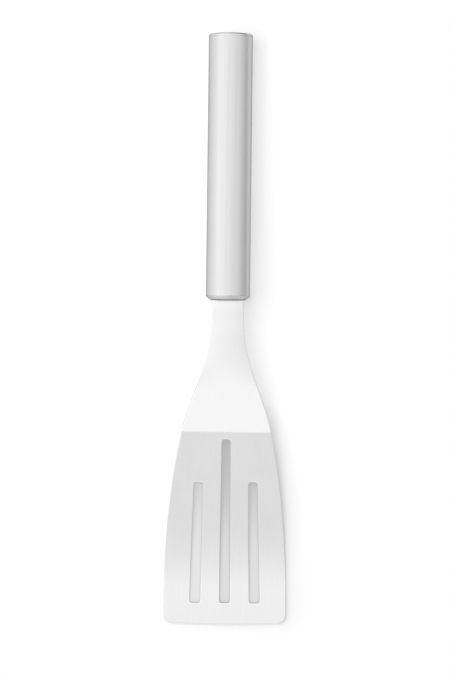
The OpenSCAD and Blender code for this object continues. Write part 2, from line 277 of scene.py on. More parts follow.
def table_finish(blade_rear_y, blade_tip_y, handle_front_y):
    """White paper that glows a little, with the tool's soft shades in it."""
    material, tree, output = new_material("white_table")
    material.cycles.emission_sampling = "NONE"
    spot = parts_of(tree, read(tree, "ShaderNodeTexCoord", "Object"))
    below = below_blade(tree, spot, blade_rear_y, blade_tip_y)
    shade = floor_shade(tree, spot, below, handle_front_y)
    colour = mixed(tree, below, FLOOR_COLOUR, FLOOR_COLOUR * UNDER_LIT_SHARE)
    matt = node(tree, "ShaderNodeBsdfDiffuse", Color=tone(tree, math_node(tree, "MULTIPLY", shade, colour)))
    seen = math_node(tree, "MULTIPLY", seen_directly(tree, FLOOR_IN_STEEL), shade)
    lift = math_node(tree, "MULTIPLY", seen, mixed(tree, below, FLOOR_LIFT, UNDER_LIFT))
    glow = node(tree, "ShaderNodeEmission", Strength=lift)
    both = node(tree, "ShaderNodeAddShader", _0=matt.outputs[0], _1=glow.outputs[0])
    tree.links.new(both.outputs[0], output.inputs["Surface"])
    return material


def make_floor(finish):
    """Pale board just under the blade's land."""
    side, end = BOARD_W / 2, BOARD_LEN / 2
    corners = [(-side, -end), (side, -end), (side, end), (-side, end)]
    mesh = mesh_of("floor", [(x, y, -FLOOR_DROP) for x, y in corners], [(0, 1, 2, 3)])
    mesh.materials.append(finish)
    add_object("floor", mesh)


blade_tip_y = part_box("blade")[0][1]
handle_front_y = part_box("ferrule")[0][1]
make_floor(table_finish(blade_tip_y + BLADE_RUN, blade_tip_y, handle_front_y))
print("floor in mm:", BOARD_W / MM, "by", BOARD_LEN / MM)

# %% [markdown]
# ## Studio light
# Steel has no colour of its own to show: what it shows is the room. In the picture the room is a
# white studio with a large soft light on the left, a darker right side, and a narrow gap between two
# soft boxes overhead, which the sloping rear of the blade mirrors as a quiet grey. A world shader
# that reads only the direction of a ray makes such a room without any object in it. One soft lamp
# from the upper left gives the shadow its direction.

# %% The room as a world shader
WHITE = (1.0, 1.0, 1.0, 1.0)
ROOM_LEVEL = 1.05
ROOM_LIGHT_SHARE = 0.44
GAP_TILT = math.radians(16.5)
GAP_HALF_WIDTH = math.radians(8.0)
GAP_SOFTNESS = math.radians(2.5)
GAP_LOSS = 0.265
# Where a stretch of the room starts, where it is full, and what it adds to the level there. Across the
# tool the places are degrees from overhead, to the right, and along it they are the ray's own Y.
ROOM_ACROSS = {
    "left light": (-8.0, -50.0, 0.13),
    "low left": (-52.0, -100.0, -0.30),
    "right": (-4.0, 32.0, -0.15),
    "far right": (47.0, 77.0, -0.29),
    "low right": (80.0, 110.0, -0.30),
}
ROOM_ALONG = {
    "front": (-0.35, -0.60, 0.09),
    "back": (0.15, 0.70, -0.34),
}


def room_level(tree):
    """Brightness of the room in the direction of a ray."""
    parts = parts_of(tree, read(tree, "ShaderNodeTexCoord", "Generated"))
    side = math_node(tree, "MULTIPLY", math_node(tree, "ARCTAN2", parts["X"], parts["Z"]), 180 / math.pi)
    level = ROOM_LEVEL
    for way, stretches in ((side, ROOM_ACROSS), (parts["Y"], ROOM_ALONG)):
        for start, full, gain in stretches.values():
            level = math_node(tree, "ADD", level, ranged(tree, way, start, full, 0.0, gain))
    tilt = math_node(tree, "ARCTAN2", math_node(tree, "MULTIPLY", parts["Y"], -1.0), parts["Z"])
    off_gap = math_node(tree, "ABSOLUTE", math_node(tree, "SUBTRACT", tilt, GAP_TILT))
    gap = ranged(tree, off_gap, GAP_HALF_WIDTH - GAP_SOFTNESS, GAP_HALF_WIDTH + GAP_SOFTNESS, -GAP_LOSS, 0.0)
    return math_node(tree, "ADD", level, gap)


def make_world():
    """White room, brighter on the left, darker on the right, with one soft gap overhead."""
    world = bpy.data.worlds.new("studio")
    world.use_nodes = True
    world.cycles.sampling_method = "NONE"
    tree = world.node_tree
    tree.nodes.clear()
    output = tree.nodes.new("ShaderNodeOutputWorld")
    path = tree.nodes.new("ShaderNodeLightPath").outputs
    mirrored = math_node(tree, "MAXIMUM", path["Is Glossy Ray"], path["Is Transmission Ray"])
    share = ranged(tree, mirrored, 0.0, 1.0, ROOM_LIGHT_SHARE, 1.0)
    room = math_node(tree, "MULTIPLY", room_level(tree), share)
    shown = mixed(tree, path["Is Camera Ray"], room, 1.0)
    background = node(tree, "ShaderNodeBackground", Color=WHITE, Strength=shown)
    tree.links.new(background.outputs[0], output.inputs["Surface"])
    bpy.context.scene.world = world


make_world()
bpy.context.scene.view_settings.view_transform = "Standard"
print("room level:", ROOM_LEVEL, "and its share in lighting:", ROOM_LIGHT_SHARE)

# %% Soft lamp from the upper left
LAMP_PLACE = Vector((-0.42, 0.22, 1.12))
LAMP_SIZE = 0.9
LAMP_POWER = 7.0


def make_lamp():
    """Square soft box that lights the table and leaves reflections to the room."""
    data = bpy.data.lights.new("soft_box", "AREA")
    data.shape = "SQUARE"
    data.size = LAMP_SIZE
    data.energy = LAMP_POWER
    lamp = add_object("soft_box", data)
    aim = (-LAMP_PLACE).to_track_quat("-Z", "Y").to_matrix().to_4x4()
    lamp.matrix_world = Matrix.Translation(LAMP_PLACE) @ aim
    lamp.visible_glossy = False


make_lamp()
print("lamp power in W:", LAMP_POWER)

# %% [markdown]
# ## Where the handle lies
# All handle parts are turned round one line. It climbs a little from the butt, which rests on the
# table, to the shank. The frame already holds that line as the grip's axis, so it's read from there
# and not typed again.

# %% Axis of the handle
record = frame["record"]
grip = next(m for m in record["mounts"] if m["name"] == "handle_grip")
HANDLE_R = grip["dims"]["r_mm"] * MM
TUBE_LEN = grip["dims"]["length_mm"] * MM
CAP_LIP = 1.6 * MM
TUBE_END = CAP_LIP + TUBE_LEN

to_butt = Vector(grip["axis"]).normalized()
butt = Vector(grip["pos_m"]) + to_butt * (TUBE_LEN / 2 + CAP_LIP)
RISE = math.asin(-to_butt.z)
across = Vector((1, 0, 0))
handle_up = (-to_butt).cross(across)
handle_frame = Matrix((across, handle_up, -to_butt)).transposed().to_4x4()
handle_frame.translation = butt
print("handle rises", round(math.degrees(RISE), 2), "degrees, butt centre at", [round(c, 4) for c in butt])

# %% [markdown]
# ## A rule for turned parts
# Tube, cap, ferrule, plug and rivets are all turned: a profile of radius and distance from the butt,
# swept round the axis. A lathe in Geometry Nodes does it for all of them. It lays out a grid with one
# row of points for each profile point, bends it round into a full turn, and welds the seam and the
# poles. The profile also carries a mask called edge that is 1 on its rounded corners, so that the
# finish can treat handled edges in its own way.

# %% Profile with rounded corners
EDGE_FADE = 0.5 * MM


def rounded_profile(corners, steps=6):
    """Points (radius, distance, edge) from corners (radius, distance, rounding)."""
    points = []
    count = len(corners)
    closed = corners[0][:2] == corners[-1][:2]
    for i, (r, z, rounding) in enumerate(corners):
        here = Vector((r, z))
        if rounding == 0 or (i in (0, count - 1) and not closed):
            points.append((r, z, 0.0))
            continue
        before = Vector(corners[i - 1 if i else count - 2][:2]) - here
        after = Vector(corners[i + 1 if i < count - 1 else 1][:2]) - here
        reach = rounding / math.tan(before.angle(after) / 2)
        inward = (before.normalized() + after.normalized()).normalized()
        middle = here + inward * (rounding / math.sin(before.angle(after) / 2))
        first = here + before.normalized() * reach
        last = here + after.normalized() * reach
        if before.length > 2 * (reach + EDGE_FADE):
            points.append((*(here + before.normalized() * (reach + EDGE_FADE)), 0.0))
        for k in range(steps + 1):
            spoke = (first - middle).lerp(last - middle, k / steps).normalized() * rounding
            points.append((*(middle + spoke), 1.0))
        if after.length > 2 * (reach + EDGE_FADE):
            points.append((*(here + after.normalized() * (reach + EDGE_FADE)), 0.0))
    return points


def keep_values(mesh, name, values):
    """Stores one value for each point of a mesh as a named attribute."""
    mesh.attributes.new(name, "FLOAT", "POINT").data.foreach_set("value", values)


def profile_mesh(name, points):
    """Mesh of bare points in the plane of radius and distance, with the edge mask."""
    mesh = mesh_of(name + "_profile", [(r, 0.0, z) for r, z, edge in points])
    keep_values(mesh, "edge", [edge for r, z, edge in points])
    return mesh


print("rounded corners fade over", EDGE_FADE / MM, "mm")

# %% The lathe as a node tree
TURN_SEGMENTS = 192
WELD = 0.002 * MM
VALUE = "NodeSocketFloat"
VECTOR = "NodeSocketVector"
COUNT = "NodeSocketInt"
SHAPE = "NodeSocketGeometry"


def new_tree(kind, name, inputs, outputs):
    """Node tree with named sockets: the tree, what it is given and the sockets of its result."""
    tree = bpy.data.node_groups.new(name, kind)
    for label, socket, value in inputs:
        made = tree.interface.new_socket(name=label, in_out="INPUT", socket_type=socket)
        if value is not None:
            made.default_value = value
    for label, socket in outputs:
        tree.interface.new_socket(name=label, in_out="OUTPUT", socket_type=socket)
    return tree, tree.nodes.new("NodeGroupInput").outputs, tree.nodes.new("NodeGroupOutput").inputs


def shape_tree(name, source, inputs, result):
    """Geometry Nodes tree that is given a mesh, its own inputs and a material."""
    sockets = [(source, SHAPE, None), *inputs, ("Material", "NodeSocketMaterial", None)]
    return new_tree("GeometryNodeTree", name, sockets, [(result, SHAPE)])


def finish_tree(tree, geometry, given, result):
    """Ends a tree in Realize Instances, Set Material and its output."""
    real = node(tree, "GeometryNodeRealizeInstances", Geometry=geometry)
    dressed = node(tree, "GeometryNodeSetMaterial", Geometry=real.outputs[0], Material=given["Material"])
    tree.links.new(dressed.outputs[0], result[0])


def build_lathe():
    """Geometry Nodes tree that turns a row of points round the Z axis."""
    sizes = [("Segments", COUNT, TURN_SEGMENTS), ("Weld Distance", VALUE, WELD)]
    tree, given, result = shape_tree("Lathe", "Profile", sizes, "Turned")
    size = node(tree, "GeometryNodeAttributeDomainSize", {"component": "MESH"}, Geometry=given["Profile"])
    rows = size.outputs["Point Count"]
    columns = math_node(tree, "ADD", given["Segments"], 1)
    grid = node(tree, "GeometryNodeMeshGrid", Size_X=1.0, Size_Y=1.0, Vertices_X=columns, Vertices_Y=rows)
    place = parts_of(tree, read(tree, "GeometryNodeInputPosition", "Position"))
    turn = math_node(tree, "MULTIPLY", place["X"], 2 * math.pi)
    down = math_node(tree, "MULTIPLY", math_node(tree, "ADD", place["Y"], 0.5),
                     math_node(tree, "SUBTRACT", rows, 1))
    row = math_node(tree, "ROUND", down)
    point = parts_of(tree, sampled(tree, given["Profile"], "FLOAT_VECTOR",
                                   read(tree, "GeometryNodeInputPosition", "Position"), row))
    edge_name = node(tree, "GeometryNodeInputNamedAttribute", {"data_type": "FLOAT"}, Name="edge")
    edge = sampled(tree, given["Profile"], "FLOAT", edge_name.outputs["Attribute"], row)
    kept = node(tree, "GeometryNodeStoreNamedAttribute", {"data_type": "FLOAT", "domain": "POINT"},
                Geometry=grid.outputs["Mesh"], Name="edge", Value=edge)
    x = math_node(tree, "MULTIPLY", point["X"], math_node(tree, "COSINE", turn))
    y = math_node(tree, "MULTIPLY", point["X"], math_node(tree, "SINE", turn))
    turned = node(tree, "GeometryNodeSetPosition", Geometry=kept.outputs[0],
                  Position=vector_of(tree, x, y, point["Z"]))
    welded = node(tree, "GeometryNodeMergeByDistance", Geometry=turned.outputs[0],
                  Distance=given["Weld Distance"])
    finish_tree(tree, welded.outputs[0], given, result)
    return tree


def sampled(tree, geometry, kind, value, index):
    """Value of one point of a geometry, picked by its index."""
    sample = node(tree, "GeometryNodeSampleIndex", {"data_type": kind, "domain": "POINT"},
                  Geometry=geometry, Index=index)
    socket = next(s for s in sample.inputs if s.name == "Value" and s.enabled)
    tree.links.new(value, socket)
    return next(s for s in sample.outputs if s.enabled)


lathe = build_lathe()
print("lathe tree:", len(lathe.nodes), "nodes")

# %% From a tree to a plain mesh
SHARP_ANGLE = math.radians(35)


def plain_mesh(name, made):
    """New mesh of an object as its modifiers show it."""
    graph = bpy.context.evaluated_depsgraph_get()
    mesh = bpy.data.meshes.new_from_object(made.evaluated_get(graph))
    mesh.name = name
    return mesh


def run_tree(name, source, tree, **inputs):
    """Runs a tree on a source mesh and returns the result as a new mesh."""
    carrier = add_object(name + "_carrier", source)
    modifier = carrier.modifiers.new("rule", "NODES")
    modifier.node_group = tree
    for item in tree.interface.items_tree:
        key = item.name.replace(" ", "_").lower()
        if item.in_out == "INPUT" and key in inputs:
            modifier[item.identifier] = inputs[key]
    mesh = plain_mesh(name, carrier)
    carrier.modifiers.remove(modifier)
    bpy.data.objects.remove(carrier)
    return mesh


def outward(mesh):
    """Drops faces without area from a closed mesh and makes the others point out."""
    work = bmesh.new()
    work.from_mesh(mesh)
    bmesh.ops.dissolve_degenerate(work, dist=WELD / 2, edges=work.edges[:])
    bmesh.ops.recalc_face_normals(work, faces=work.faces[:])
    work.to_mesh(mesh)
    work.free()


def new_piece(name, mesh, slot, *nodes):
    """Object at the origin that stands for solid parts and rides on the one body."""
    mesh.shade_smooth()
    mesh.set_sharp_from_angle(angle=SHARP_ANGLE)
    piece = add_object(name, mesh)
    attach(piece, "root")
    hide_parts(*nodes)
    print(name, "has", len(mesh.polygons), "faces")


def turned_mesh(name, corners, material, place=handle_frame, segments=TURN_SEGMENTS):
    """Closed turned mesh from profile corners, laid on the handle's axis."""
    profile = profile_mesh(name, rounded_profile(corners))
    mesh = run_tree(name, profile, lathe, segments=segments, weld_distance=WELD, material=material)
    outward(mesh)
    mesh.transform(place)
    return mesh


print("parts that meet at more than", round(math.degrees(SHARP_ANGLE)), "degrees stay crisp")

# %% [markdown]
# ## Shared effects
# Four effects come back in several finishes, so each is a node group of its own. Grain stretches a
# noise along one direction, as brushing and rolling do. Mottle is the broad, faint unevenness that
# handling leaves. Wear brightens and smooths the rounded edges, broken up by a little noise. The fourth
# is a painted shade: a thin dark line painted into the colour where two parts meet, in place of the
# shadow in the gap. The groups give out only values, and each material decides what to do with them.

# %% Groups for grain, mottle, wear and painted gap shade
BROAD_GRAIN_SHARE = 0.16
FINE_DETAIL = 3.0
SOFT_DETAIL = 2.0
GRAIN_BREAKUP = 0.6
MOTTLE_DETAIL = 4.0
MOTTLE_BREAKUP = 0.55
MOTTLE_FROM, MOTTLE_TO = 0.3, 0.7
WEAR_FROM, WEAR_TO = 0.25, 0.6
WEAR_LEAST = 0.45
GAP_SHADE_NOISE_SCALE = 700.0
GAP_SHADE_SWING = 0.4
GAP_SHADE_NARROWEST = 0.7
GAP_SHADE_SOFTNESS = 2.2


def new_group(name, inputs, outputs):
    """Shader node group that is given a vector and its own inputs, and puts out values."""
    sockets = [("Vector", VECTOR, None)] + [(label, VALUE, value) for label, value in inputs]
    return new_tree("ShaderNodeTree", name, sockets, [(label, VALUE) for label in outputs])


def noise(tree, vector, scale, detail, roughness=0.5):
    """Value of a noise texture."""
    made = node(tree, "ShaderNodeTexNoise", Vector=vector, Scale=scale, Detail=detail, Roughness=roughness)
    return made.outputs["Fac"]


def build_grain():
    """Fine lines along the Y axis of the vector, with a second, coarser set under them."""
    tree, given, result = new_group("Grain", [("Lines", 4000.0), ("Stretch", 0.01)], ["Fine", "Broad"])
    for label, coarser, detail in (("Fine", 1.0, FINE_DETAIL), ("Broad", BROAD_GRAIN_SHARE, SOFT_DETAIL)):
        wide = math_node(tree, "MULTIPLY", given["Lines"], coarser)
        long = math_node(tree, "MULTIPLY", wide, given["Stretch"])
        spread = vector_math(tree, "MULTIPLY", given["Vector"], vector_of(tree, wide, long, wide))
        tree.links.new(noise(tree, spread, 1.0, detail, GRAIN_BREAKUP), result[label])
    return tree


def build_mottle():
    """Soft patches between 0 and 1."""
    tree, given, result = new_group("Mottle", [("Scale", 60.0)], ["Patches"])
    cloudy = noise(tree, given["Vector"], given["Scale"], MOTTLE_DETAIL, MOTTLE_BREAKUP)
    tree.links.new(ranged(tree, cloudy, MOTTLE_FROM, MOTTLE_TO, 0.0, 1.0), result["Patches"])
    return tree


def build_wear():
    """Mask of rubbed edges from the edge attribute, broken up by noise."""
    tree, given, result = new_group("Wear", [("Edge", 0.0), ("Scale", 900.0)], ["Rubbed"])
    uneven = noise(tree, given["Vector"], given["Scale"], SOFT_DETAIL)
    broken = ranged(tree, uneven, WEAR_FROM, WEAR_TO, WEAR_LEAST, 1.0)
    tree.links.new(math_node(tree, "MULTIPLY", given["Edge"], broken), result["Rubbed"])
    return tree


def build_gap_shade():
    """Mask of the painted shade line in a gap between two parts, from the distance to that gap."""
    tree, given, result = new_group("Joint", [("Distance", 1.0), ("Width", 0.5 * MM)], ["Dark"])
    uneven = noise(tree, given["Vector"], GAP_SHADE_NOISE_SCALE, SOFT_DETAIL)
    share = math_node(tree, "MULTIPLY_ADD", uneven, GAP_SHADE_SWING, GAP_SHADE_NARROWEST)
    width = math_node(tree, "MULTIPLY", given["Width"], share)
    faded = math_node(tree, "MULTIPLY", width, GAP_SHADE_SOFTNESS)
    tree.links.new(ranged(tree, given["Distance"], width, faded, 1.0, 0.0), result["Dark"])
    return tree


def effect(tree, group, **sockets):
    """Places a shared effect in a material and returns its outputs."""
    return node(tree, "ShaderNodeGroup", {"node_tree": group}, **sockets).outputs


grain_group = build_grain()
mottle_group = build_mottle()
wear_group = build_wear()
gap_shade_group = build_gap_shade()
print("shared effects:", grain_group.name, mottle_group.name, wear_group.name, gap_shade_group.name)

# %% [markdown]
# ## The sheet's line
# Tang, shank, neck and blade are one strip of steel, bent along one line: straight out of the
# handle, down through the neck, a sharp crease, and a long shallow run that ends flat on the table.
# The line is a chain of straight stretches and arcs. Each station on it is the distance along the
# strip, the place and the slope.

# %% Stations along the sheet
SHEET_T = 1.3 * MM
TANG_T = 1.1 * MM
TANG_LEN = 54 * MM
SKIRT_LEN = 9 * MM
FERRULE_BAND = 0.3 * MM
CHAMFER_LEN = 2 * MM
CHAMFER_DEPTH = 2.8 * MM
SHANK_LEN = 25 * MM
BEND_R = 60 * MM
NECK_SLOPE = math.radians(21)
CREASE_R = 7 * MM
BLADE_SLOPE = math.radians(5.5)
REAR_LEN = 47.5 * MM
SWEEP_LEN = 42 * MM
LAND_LEN = 21.3 * MM
HANDLE_LEN = TUBE_END + FERRULE_BAND + CHAMFER_LEN
sweep_r = SWEEP_LEN / BLADE_SLOPE


def ahead(station, run):
    """Station after a straight run."""
    along, y, z, slope = station
    return (along + run, y - run * math.cos(slope), z - run * math.sin(slope), slope)


def bent(station, radius, end_slope):
    """Station after an arc that ends at a given slope below level."""
    along, y, z, slope = station
    side = 1 if end_slope > slope else -1
    y_end = y - side * radius * (math.sin(end_slope) - math.sin(slope))
    z_end = z + side * radius * (math.cos(end_slope) - math.cos(slope))
    return (along + radius * abs(end_slope - slope), y_end, z_end, end_slope)


def sheet_line():
    """Stretches of the line as (first station, radius or None, end station)."""
    shoulder = butt - to_butt * (TUBE_END - SKIRT_LEN)
    start = ahead((0.0, shoulder.y, shoulder.z, -RISE), -TANG_LEN)
    bend = ahead(start, TANG_LEN + SKIRT_LEN + FERRULE_BAND + CHAMFER_LEN + SHANK_LEN)
    neck = bent(bend, BEND_R, NECK_SLOPE)
    crease_drop = CREASE_R * (math.cos(BLADE_SLOPE) - math.cos(NECK_SLOPE))
    blade_drop = REAR_LEN * math.sin(BLADE_SLOPE) + sweep_r * (1 - math.cos(BLADE_SLOPE))
    crease = ahead(neck, (neck[2] - crease_drop - blade_drop - SHEET_T / 2) / math.sin(NECK_SLOPE))
    rear = bent(crease, CREASE_R, BLADE_SLOPE)
    sweep = ahead(rear, REAR_LEN)
    land = bent(sweep, sweep_r, 0.0)
    tip = ahead(land, LAND_LEN)
    stations = [start, bend, neck, crease, rear, sweep, land, tip]
    radii = [None, BEND_R, None, CREASE_R, None, sweep_r, None]
    return list(zip(stations, radii, stations[1:]))


line = sheet_line()
bend_st, neck_st, crease_st, rear_st, sweep_st, land_st, tip_st = [end for start, radius, end in line]


def station_at(along):
    """Station at a distance along the sheet, measured from its shoulders."""
    start, radius, end = next((s for s in line if along <= s[2][0]), line[-1])
    run = along - start[0]
    if radius is None:
        return ahead(start, run)
    turn = run / radius * (1 if end[3] > start[3] else -1)
    return bent(start, radius, start[3] + turn) if run > 0 else start


def along_at(y):
    """Distance along the sheet of the place that lies over y."""
    start, radius, end = next((s for s in line if y >= s[2][1]), line[-1])
    if radius is None:
        return start[0] + (start[1] - y) / math.cos(start[3])
    side = 1 if end[3] > start[3] else -1
    slope = math.asin(math.sin(start[3]) + side * (start[1] - y) / radius)
    return start[0] + radius * abs(slope - start[3])


ferrule_y = (butt - to_butt * HANDLE_LEN).y
print("sheet is", round(tip_st[0] / MM + TANG_LEN / MM, 1), "mm long, tip at y", round(tip_st[1] / MM, 2),
      "z", round(tip_st[2] / MM, 2))

# %% [markdown]
# ## Steel finishes
# The sheet, the tube and the turned caps are the same stainless steel with three finishes. The base
# colour of a metal is what it mirrors of white light, so all three are pale greys. What makes them
# look different is the grain: the tube is brushed along its length, the sheet is finely satined,
# and cap and ferrule carry turning marks round their axis.

# %% Where a point lies on the handle and on the sheet
SHANK_START = SKIRT_LEN + FERRULE_BAND + CHAMFER_LEN


def along_handle(tree, place):
    """Object coordinates turned so that Y runs along the handle's axis."""
    turned = node(tree, "ShaderNodeMapping", {"vector_type": "POINT"}, Vector=place)
    turned.inputs["Rotation"].default_value = (RISE, 0.0, 0.0)
    return turned.outputs[0]


def from_butt(tree, place):
    """Separate coordinates from the butt's centre, of a place already turned along the handle."""
    return parts_of(tree, vector_math(tree, "SUBTRACT", place, Matrix.Rotation(RISE, 3, "X") @ butt))


def off_front(tree, place):
    """Distance along the handle from the front plane of the ferrule."""
    return math_node(tree, "ABSOLUTE", math_node(tree, "ADD", from_butt(tree, place)["Y"], HANDLE_LEN))


def turning_marks(tree, place):
    """Vector whose X is the distance from the handle's axis and whose Z runs along it."""
    parts = from_butt(tree, place)
    square = math_node(tree, "ADD", math_node(tree, "MULTIPLY", parts["X"], parts["X"]),
                       math_node(tree, "MULTIPLY", parts["Z"], parts["Z"]))
    turn = math_node(tree, "ARCTAN2", parts["X"], parts["Z"])
    around = math_node(tree, "MULTIPLY", turn, HANDLE_R)
    return vector_of(tree, math_node(tree, "SQRT", square), around, parts["Y"])


def stored(tree, name):
    """Value that the mesh carries as a named attribute."""
    return node(tree, "ShaderNodeAttribute", {"attribute_name": name}).outputs["Fac"]


def off_ferrule(tree, place):
    """Distance along the sheet from the ferrule's front."""
    return math_node(tree, "ABSOLUTE", math_node(tree, "SUBTRACT", stored(tree, "along"), SHANK_START))


print("sheet leaves the ferrule", round(SHANK_START / MM, 1), "mm from its shoulders")

# %% Steel with a grain
MOTTLE_SCALE = 55.0
GRAIN_TONE = 0.09
PATCH_TONE = 0.012
RUBBED_TONE = 0.03
GRAIN_GLOSS = 0.24
PATCH_GLOSS = 0.03
RUBBED_GLOSS = -0.10
RIM_TINT = 0.40
# How much the painted shade line at a gap darkens the colour.
GAP_SHADE_DARK = 0.5


def swung(tree, value, amount, middle):
    """Middle value that a noise swings by an amount up and down."""
    return math_node(tree, "MULTIPLY_ADD", math_node(tree, "SUBTRACT", value, 0.5), amount, middle)


def steel(name, colour, roughness, depth, lines, stretch, along=None, marks=None, joint=None,
          joint_line=0.0, brushing=1.0):
    """Metal whose grain, patches and rubbed edges vary its tone, gloss and relief, with an optional painted
    shade line at a gap.
    """
    material, tree, output = new_material(name)
    place = read(tree, "ShaderNodeTexCoord", "Object")
    if along:
        place = along(tree, place)
    pattern = marks(tree, place) if marks else place
    brushed = effect(tree, grain_group, Vector=pattern, Lines=lines, Stretch=stretch)
    patches = effect(tree, mottle_group, Vector=place, Scale=MOTTLE_SCALE)["Patches"]
    rubbed = effect(tree, wear_group, Vector=place, Edge=stored(tree, "edge"))["Rubbed"]
    grey = colour(tree) if callable(colour) else colour
    shade = swung(tree, brushed["Broad"], GRAIN_TONE * brushing, grey)
    shade = swung(tree, patches, PATCH_TONE, shade)
    shade = math_node(tree, "MULTIPLY_ADD", rubbed, RUBBED_TONE, shade)
    # Painted shade: the colour is darkened in a thin line at the gap where two parts meet.
    if joint:
        dark = effect(tree, gap_shade_group, Vector=place, Distance=joint(tree, place), Width=joint_line)["Dark"]
        shade = math_node(tree, "MULTIPLY", shade, math_node(tree, "MULTIPLY_ADD", dark, -GAP_SHADE_DARK, 1.0))
    base = roughness(tree) if callable(roughness) else roughness
    gloss = swung(tree, brushed["Fine"], GRAIN_GLOSS * brushing, base)
    gloss = swung(tree, patches, PATCH_GLOSS, gloss)
    gloss = math_node(tree, "MULTIPLY_ADD", rubbed, RUBBED_GLOSS, gloss)
    relief = node(tree, "ShaderNodeBump", Height=brushed["Fine"], Distance=depth, Strength=1.0)
    shader = node(tree, "ShaderNodeBsdfPrincipled", Base_Color=tone(tree, shade), Metallic=1.0,
                  Roughness=gloss, Normal=relief.outputs[0])
    shader.inputs["Specular Tint"].default_value = (RIM_TINT, RIM_TINT, RIM_TINT, 1.0)
    tree.links.new(shader.outputs[0], output.inputs["Surface"])
    return material


print("rubbed edges are", RUBBED_TONE, "brighter and", -RUBBED_GLOSS, "smoother")

# %% [markdown]
# ## Three steels
# The sheet isn't equally fine all over. Blade and shank are ground finer than the neck between them,
# and in the corner against the ferrule no belt reaches, so the sheet keeps more of its first gloss.
# Over the bend the steel's colour is painted a shade paler: painted light where the bend mirrors a
# dark part of the room.

# %% Three steels
TUBE_STEEL = 0.80
SHEET_STEEL = 0.89
CAP_STEEL = 0.80
# Widths of the painted shade lines: at the ferrule's front, and where the shank leaves it.
FRONT_GAP_SHADE = 0.28 * MM
SHANK_GAP_SHADE = 0.05 * MM
CORNER_ROUGHNESS = 0.17
SHANK_ROUGHNESS = 0.32
NECK_ROUGHNESS = 0.44
BLADE_ROUGHNESS = 0.20
CORNER_FADE = 8 * MM
# Painted light over the bend: its grey, and where it rises and peaks along the sheet.
BEND_PAINTED_LIGHT_GREY = 0.94
PAINTED_BEND_LIGHT_RISE = 18 * MM
PAINTED_BEND_LIGHT_PEAK = 12 * MM
SHANK_FADE = 12 * MM
GROUND_FADE = 1.5 * MM


def sheet_tone_with_painted_light(tree):
    """Grey of the sheet, with painted light that makes it a little paler over the neck's bend."""
    along = stored(tree, "along")
    painted_lighter = ranged(tree, along, bend_st[0] - PAINTED_BEND_LIGHT_RISE, bend_st[0] + PAINTED_BEND_LIGHT_PEAK, SHEET_STEEL, BEND_PAINTED_LIGHT_GREY)
    return ranged(tree, along, bend_st[0] + PAINTED_BEND_LIGHT_PEAK, neck_st[0], painted_lighter, SHEET_STEEL)


def sheet_gloss(tree):
    """Roughness of the sheet, from the ferrule's corner over shank and neck to the blade."""
    along = stored(tree, "along")
    shank = ranged(tree, along, SHANK_START, SHANK_START + CORNER_FADE, CORNER_ROUGHNESS, SHANK_ROUGHNESS)
    neck = ranged(tree, along, bend_st[0] - SHANK_FADE, bend_st[0], shank, NECK_ROUGHNESS)
    return ranged(tree, along, crease_st[0], crease_st[0] + GROUND_FADE, neck, BLADE_ROUGHNESS)


tube_finish = steel("brushed_tube", TUBE_STEEL, roughness=0.36, depth=0.006 * MM, lines=5200.0,
                    stretch=0.006, along=along_handle)
sheet_finish = steel("satin_sheet", sheet_tone_with_painted_light, roughness=sheet_gloss, depth=0.002 * MM, lines=6500.0,
                     stretch=0.02, joint=off_ferrule, joint_line=SHANK_GAP_SHADE, brushing=0.4)
turned_finish = steel("turned_steel", CAP_STEEL, roughness=0.34, depth=0.004 * MM, lines=6000.0,
                      stretch=0.01, along=along_handle, marks=turning_marks, joint=off_front,
                      joint_line=FRONT_GAP_SHADE)
print("steel finishes:", tube_finish.name, sheet_finish.name, turned_finish.name)

# %% [markdown]
# ## Handle tube
# The handle is a plain drawn tube with a 0.8 mm wall. Its cut ends are broken with a file, so the
# profile's corners are rounded by a fraction of a millimetre. Those tiny roundings catch the light
# as thin lines, which is how an eye tells two fitted parts from one.

# %% Tube
TUBE_WALL = 0.8 * MM
TUBE_BREAK = 0.18 * MM
bore_r = HANDLE_R - TUBE_WALL

tube_corners = [
    (HANDLE_R, CAP_LIP, TUBE_BREAK),
    (HANDLE_R, TUBE_END, TUBE_BREAK),
    (bore_r, TUBE_END, TUBE_BREAK),
    (bore_r, CAP_LIP, TUBE_BREAK),
    (HANDLE_R, CAP_LIP, TUBE_BREAK),
]
new_piece("brushed_handle", turned_mesh("brushed_handle", tube_corners, tube_finish), "brushed_tube",
          "handle_tube")

# %% [markdown]
# ## End cap
# The butt is closed by a pressed cap: a disc with a rounded lip, and behind it a hollow spigot with
# a groove for a rubber ring, all inside the tube. Every radius of the spigot is worked out from the
# tube's bore.

# %% Cap
CAP_EDGE_R = 0.9 * MM
CAP_SPIGOT_LEN = 9 * MM
CAP_SPIGOT_WALL = 2.2 * MM
GROOVE_DEPTH = 1.0 * MM
GROOVE_W = 1.5 * MM
TUBE_FIT = 0.05 * MM
INNER_BREAK = 0.1 * MM
JOINT_BREAK = 0.15 * MM
inner_r = bore_r - TUBE_FIT
spigot_end = CAP_LIP + CAP_SPIGOT_LEN
groove_mid = CAP_LIP + CAP_SPIGOT_LEN / 2

